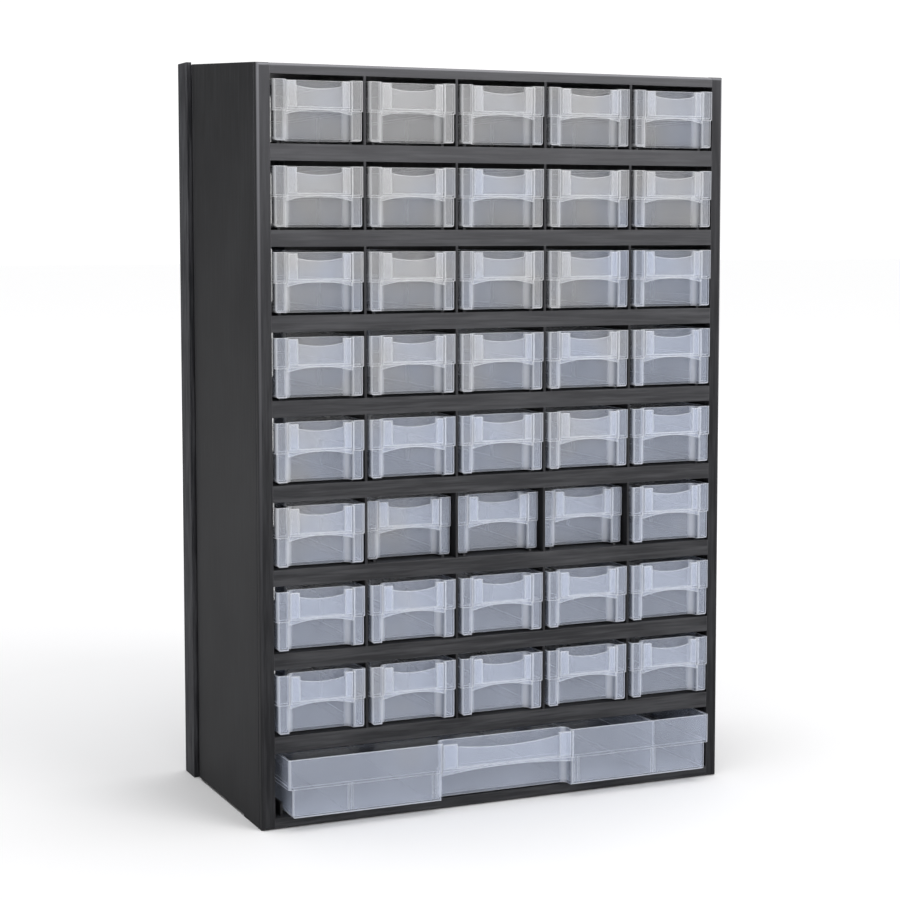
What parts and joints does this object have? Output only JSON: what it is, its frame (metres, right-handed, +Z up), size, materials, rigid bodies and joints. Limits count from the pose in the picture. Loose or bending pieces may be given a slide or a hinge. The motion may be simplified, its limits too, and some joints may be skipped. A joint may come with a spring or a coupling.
{
  "type": "parts bin cabinet",
  "caption": "Free-standing storage cabinet: a black moulded case with rows of small translucent sliding drawers over one wide sliding drawer.",
  "frame": {"origin": "centre of the footprint, on the floor, with the wide drawer as it stands open at rest", "axes": "+Z up, drawers open towards -Y, +X to the right of someone facing the drawer fronts"},
  "size_m": [0.312, 0.1656, 0.4556],
  "materials": {
    "case_plastic": "black moulded polypropylene or polystyrene, satin, lightly dusty",
    "drawer_plastic": "frosted translucent polypropylene, satin"
  },
  "bodies": {
    "case": {"left_side": "case_plastic", "right_side": "case_plastic", "top_panel": "case_plastic", "bottom_panel": "case_plastic", "rear_frame": "case_plastic", "back_grille": "case_plastic", "shelf_1": "case_plastic", "shelf_2": "case_plastic", "shelf_3": "case_plastic", "shelf_4": "case_plastic", "shelf_5": "case_plastic", "shelf_6": "case_plastic", "shelf_7": "case_plastic", "shelf_8": "case_plastic", "column_divider_1": "case_plastic", "column_divider_2": "case_plastic", "column_divider_3": "case_plastic", "column_divider_4": "case_plastic"},
    "small_drawer_r1_c1": {"drawer_r1_c1": "drawer_plastic"},
    "small_drawer_r1_c2": {"drawer_r1_c2": "drawer_plastic"},
    "small_drawer_r1_c3": {"drawer_r1_c3": "drawer_plastic"},
    "small_drawer_r1_c4": {"drawer_r1_c4": "drawer_plastic"},
    "small_drawer_r1_c5": {"drawer_r1_c5": "drawer_plastic"},
    "small_drawer_r2_c1": {"drawer_r2_c1": "drawer_plastic"},
    "small_drawer_r2_c2": {"drawer_r2_c2": "drawer_plastic"},
    "small_drawer_r2_c3": {"drawer_r2_c3": "drawer_plastic"},
    "small_drawer_r2_c4": {"drawer_r2_c4": "drawer_plastic"},
    "small_drawer_r2_c5": {"drawer_r2_c5": "drawer_plastic"},
    "small_drawer_r3_c1": {"drawer_r3_c1": "drawer_plastic"},
    "small_drawer_r3_c2": {"drawer_r3_c2": "drawer_plastic"},
    "small_drawer_r3_c3": {"drawer_r3_c3": "drawer_plastic"},
    "small_drawer_r3_c4": {"drawer_r3_c4": "drawer_plastic"},
    "small_drawer_r3_c5": {"drawer_r3_c5": "drawer_plastic"},
    "small_drawer_r4_c1": {"drawer_r4_c1": "drawer_plastic"},
    "small_drawer_r4_c2": {"drawer_r4_c2": "drawer_plastic"},
    "small_drawer_r4_c3": {"drawer_r4_c3": "drawer_plastic"},
    "small_drawer_r4_c4": {"drawer_r4_c4": "drawer_plastic"},
    "small_drawer_r4_c5": {"drawer_r4_c5": "drawer_plastic"},
    "small_drawer_r5_c1": {"drawer_r5_c1": "drawer_plastic"},
    "small_drawer_r5_c2": {"drawer_r5_c2": "drawer_plastic"},
    "small_drawer_r5_c3": {"drawer_r5_c3": "drawer_plastic"},
    "small_drawer_r5_c4": {"drawer_r5_c4": "drawer_plastic"},
    "small_drawer_r5_c5": {"drawer_r5_c5": "drawer_plastic"},
    "small_drawer_r6_c1": {"drawer_r6_c1": "drawer_plastic"},
    "small_drawer_r6_c2": {"drawer_r6_c2": "drawer_plastic"},
    "small_drawer_r6_c3": {"drawer_r6_c3": "drawer_plastic"},
    "small_drawer_r6_c4": {"drawer_r6_c4": "drawer_plastic"},
    "small_drawer_r6_c5": {"drawer_r6_c5": "drawer_plastic"},
    "small_drawer_r7_c1": {"drawer_r7_c1": "drawer_plastic"},
    "small_drawer_r7_c2": {"drawer_r7_c2": "drawer_plastic"},
    "small_drawer_r7_c3": {"drawer_r7_c3": "drawer_plastic"},
    "small_drawer_r7_c4": {"drawer_r7_c4": "drawer_plastic"},
    "small_drawer_r7_c5": {"drawer_r7_c5": "drawer_plastic"},
    "small_drawer_r8_c1": {"drawer_r8_c1": "drawer_plastic"},
    "small_drawer_r8_c2": {"drawer_r8_c2": "drawer_plastic"},
    "small_drawer_r8_c3": {"drawer_r8_c3": "drawer_plastic"},
    "small_drawer_r8_c4": {"drawer_r8_c4": "drawer_plastic"},
    "small_drawer_r8_c5": {"drawer_r8_c5": "drawer_plastic"},
    "bottom_drawer": {"wide_drawer": "drawer_plastic", "wide_drawer_divider": "drawer_plastic"}
  },
  "joints": [
    {"name": "slide_r1_c1", "type": "slide", "parent": "case", "child": "small_drawer_r1_c1", "axis": [0, -1, 0], "range_m": [-0.0095, 0.132]},
    {"name": "slide_r1_c2", "type": "slide", "parent": "case", "child": "small_drawer_r1_c2", "axis": [0, -1, 0], "range_m": [-0.0095, 0.132]},
    {"name": "slide_r1_c3", "type": "slide", "parent": "case", "child": "small_drawer_r1_c3", "axis": [0, -1, 0], "range_m": [-0.0095, 0.132]},
    {"name": "slide_r1_c4", "type": "slide", "parent": "case", "child": "small_drawer_r1_c4", "axis": [0, -1, 0], "range_m": [-0.0095, 0.132]},
    {"name": "slide_r1_c5", "type": "slide", "parent": "case", "child": "small_drawer_r1_c5", "axis": [0, -1, 0], "range_m": [-0.0095, 0.132]},
    {"name": "slide_r2_c1", "type": "slide", "parent": "case", "child": "small_drawer_r2_c1", "axis": [0, -1, 0], "range_m": [-0.0095, 0.132]},
    {"name": "slide_r2_c2", "type": "slide", "parent": "case", "child": "small_drawer_r2_c2", "axis": [0, -1, 0], "range_m": [-0.0095, 0.132]},
    {"name": "slide_r2_c3", "type": "slide", "parent": "case", "child": "small_drawer_r2_c3", "axis": [0, -1, 0], "range_m": [-0.0095, 0.132]},
    {"name": "slide_r2_c4", "type": "slide", "parent": "case", "child": "small_drawer_r2_c4", "axis": [0, -1, 0], "range_m": [-0.0095, 0.132]},
    {"name": "slide_r2_c5", "type": "slide", "parent": "case", "child": "small_drawer_r2_c5", "axis": [0, -1, 0], "range_m": [-0.0095, 0.132]},
    {"name": "slide_r3_c1", "type": "slide", "parent": "case", "child": "small_drawer_r3_c1", "axis": [0, -1, 0], "range_m": [-0.0095, 0.132]},
    {"name": "slide_r3_c2", "type": "slide", "parent": "case", "child": "small_drawer_r3_c2", "axis": [0, -1, 0], "range_m": [-0.0095, 0.132]},
    {"name": "slide_r3_c3", "type": "slide", "parent": "case", "child": "small_drawer_r3_c3", "axis": [0, -1, 0], "range_m": [-0.0095, 0.132]},
    {"name": "slide_r3_c4", "type": "slide", "parent": "case", "child": "small_drawer_r3_c4", "axis": [0, -1, 0], "range_m": [-0.0095, 0.132]},
    {"name": "slide_r3_c5", "type": "slide", "parent": "case", "child": "small_drawer_r3_c5", "axis": [0, -1, 0], "range_m": [-0.0095, 0.132]},
    {"name": "slide_r4_c1", "type": "slide", "parent": "case", "child": "small_drawer_r4_c1", "axis": [0, -1, 0], "range_m": [-0.0095, 0.132]},
    {"name": "slide_r4_c2", "type": "slide", "parent": "case", "child": "small_drawer_r4_c2", "axis": [0, -1, 0], "range_m": [-0.0095, 0.132]},
    {"name": "slide_r4_c3", "type": "slide", "parent": "case", "child": "small_drawer_r4_c3", "axis": [0, -1, 0], "range_m": [-0.0095, 0.132]},
    {"name": "slide_r4_c4", "type": "slide", "parent": "case", "child": "small_drawer_r4_c4", "axis": [0, -1, 0], "range_m": [-0.0095, 0.132]},
    {"name": "slide_r4_c5", "type": "slide", "parent": "case", "child": "small_drawer_r4_c5", "axis": [0, -1, 0], "range_m": [-0.0095, 0.132]},
    {"name": "slide_r5_c1", "type": "slide", "parent": "case", "child": "small_drawer_r5_c1", "axis": [0, -1, 0], "range_m": [-0.0095, 0.132]},
    {"name": "slide_r5_c2", "type": "slide", "parent": "case", "child": "small_drawer_r5_c2", "axis": [0, -1, 0], "range_m": [-0.0095, 0.132]},
    {"name": "slide_r5_c3", "type": "slide", "parent": "case", "child": "small_drawer_r5_c3", "axis": [0, -1, 0], "range_m": [-0.0095, 0.132]},
    {"name": "slide_r5_c4", "type": "slide", "parent": "case", "child": "small_drawer_r5_c4", "axis": [0, -1, 0], "range_m": [-0.0095, 0.132]},
    {"name": "slide_r5_c5", "type": "slide", "parent": "case", "child": "small_drawer_r5_c5", "axis": [0, -1, 0], "range_m": [-0.0095, 0.132]},
    {"name": "slide_r6_c1", "type": "slide", "parent": "case", "child": "small_drawer_r6_c1", "axis": [0, -1, 0], "range_m": [-0.0095, 0.132]},
    {"name": "slide_r6_c2", "type": "slide", "parent": "case", "child": "small_drawer_r6_c2", "axis": [0, -1, 0], "range_m": [-0.0025, 0.139]},
    {"name": "slide_r6_c3", "type": "slide", "parent": "case", "child": "small_drawer_r6_c3", "axis": [0, -1, 0], "range_m": [-0.0025, 0.139]},
    {"name": "slide_r6_c4", "type": "slide", "parent": "case", "child": "small_drawer_r6_c4", "axis": [0, -1, 0], "range_m": [-0.0025, 0.139]},
    {"name": "slide_r6_c5", "type": "slide", "parent": "case", "child": "small_drawer_r6_c5", "axis": [0, -1, 0], "range_m": [-0.0095, 0.132]},
    {"name": "slide_r7_c1", "type": "slide", "parent": "case", "child": "small_drawer_r7_c1", "axis": [0, -1, 0], "range_m": [-0.0095, 0.132]},
    {"name": "slide_r7_c2", "type": "slide", "parent": "case", "child": "small_drawer_r7_c2", "axis": [0, -1, 0], "range_m": [-0.0095, 0.132]},
    {"name": "slide_r7_c3", "type": "slide", "parent": "case", "child": "small_drawer_r7_c3", "axis": [0, -1, 0], "range_m": [-0.0095, 0.132]},
    {"name": "slide_r7_c4", "type": "slide", "parent": "case", "child": "small_drawer_r7_c4", "axis": [0, -1, 0], "range_m": [-0.0095, 0.132]},
    {"name": "slide_r7_c5", "type": "slide", "parent": "case", "child": "small_drawer_r7_c5", "axis": [0, -1, 0], "range_m": [-0.0095, 0.132]},
    {"name": "slide_r8_c1", "type": "slide", "parent": "case", "child": "small_drawer_r8_c1", "axis": [0, -1, 0], "range_m": [-0.0095, 0.132]},
    {"name": "slide_r8_c2", "type": "slide", "parent": "case", "child": "small_drawer_r8_c2", "axis": [0, -1, 0], "range_m": [-0.0095, 0.132]},
    {"name": "slide_r8_c3", "type": "slide", "parent": "case", "child": "small_drawer_r8_c3", "axis": [0, -1, 0], "range_m": [-0.0095, 0.132]},
    {"name": "slide_r8_c4", "type": "slide", "parent": "case", "child": "small_drawer_r8_c4", "axis": [0, -1, 0], "range_m": [-0.0095, 0.132]},
    {"name": "slide_r8_c5", "type": "slide", "parent": "case", "child": "small_drawer_r8_c5", "axis": [0, -1, 0], "range_m": [-0.0095, 0.132]},
    {"name": "slide_wide", "type": "slide", "parent": "case", "child": "bottom_drawer", "axis": [0, -1, 0], "range_m": [-0.0175, 0.124]}
  ]
}
